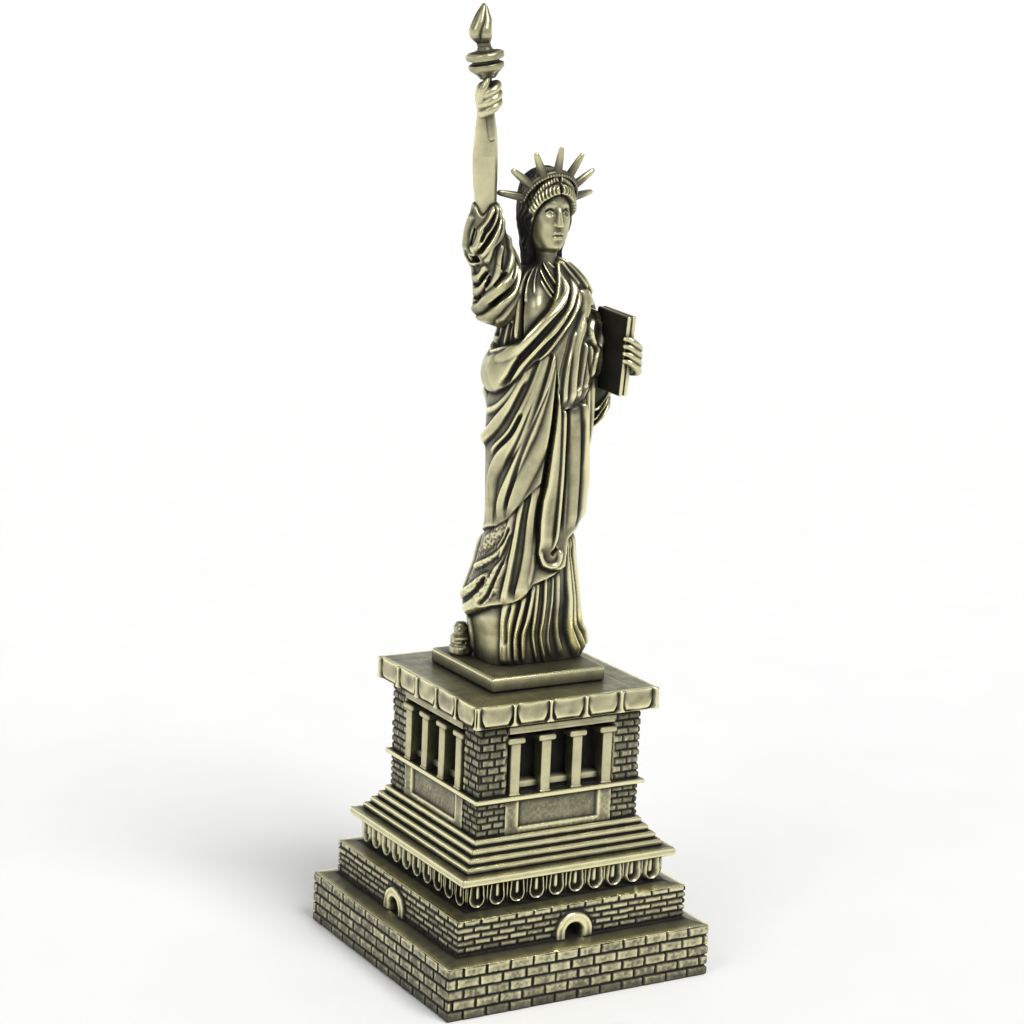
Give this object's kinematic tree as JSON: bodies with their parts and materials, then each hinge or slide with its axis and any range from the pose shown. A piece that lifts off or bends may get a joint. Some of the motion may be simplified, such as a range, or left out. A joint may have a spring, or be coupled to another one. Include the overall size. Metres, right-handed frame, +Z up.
{
  "type": "miniature landmark model",
  "caption": "Antique-brass cast figure with a raised torch, spiked crown and tablet on a stepped brick pedestal; stands on a felt base.",
  "frame": {"origin": "centre of the pedestal's underside", "axes": "+Z up; the figure faces -Y, its raised arm is on the -X side and its tablet on the +X side"},
  "size_m": [0.0662, 0.0662, 0.2122],
  "materials": {
    "antique_brass": "antique brass plating over zinc alloy, satin on the high places and dark in the recesses",
    "screw_steel": "zinc plated",
    "cover_board": "matt black moulded board",
    "felt": "dark green felt"
  },
  "bodies": {
    "root": {"front_lower_panel": "antique_brass", "front_upper_panel": "antique_brass", "right_lower_panel": "antique_brass", "right_upper_panel": "antique_brass", "back_lower_panel": "antique_brass", "back_upper_panel": "antique_brass", "left_lower_panel": "antique_brass", "left_upper_panel": "antique_brass", "deck_plate": "antique_brass", "figure_plinth": "antique_brass", "figure_front_shell": "antique_brass", "figure_back_shell": "antique_brass", "trailing_foot": "antique_brass", "head": "antique_brass", "crown_band": "antique_brass", "crown_ray_1": "antique_brass", "crown_ray_2": "antique_brass", "crown_ray_3": "antique_brass", "crown_ray_4": "antique_brass", "crown_ray_5": "antique_brass", "crown_ray_6": "antique_brass", "crown_ray_7": "antique_brass", "raised_arm": "antique_brass", "torch_handle": "antique_brass", "torch_gallery": "antique_brass", "torch_flame": "antique_brass", "tablet": "antique_brass", "left_hand": "antique_brass", "figure_screw": "screw_steel", "screw_washer": "screw_steel", "base_cover": "cover_board", "base_felt": "felt"}
  },
  "joints": []
}
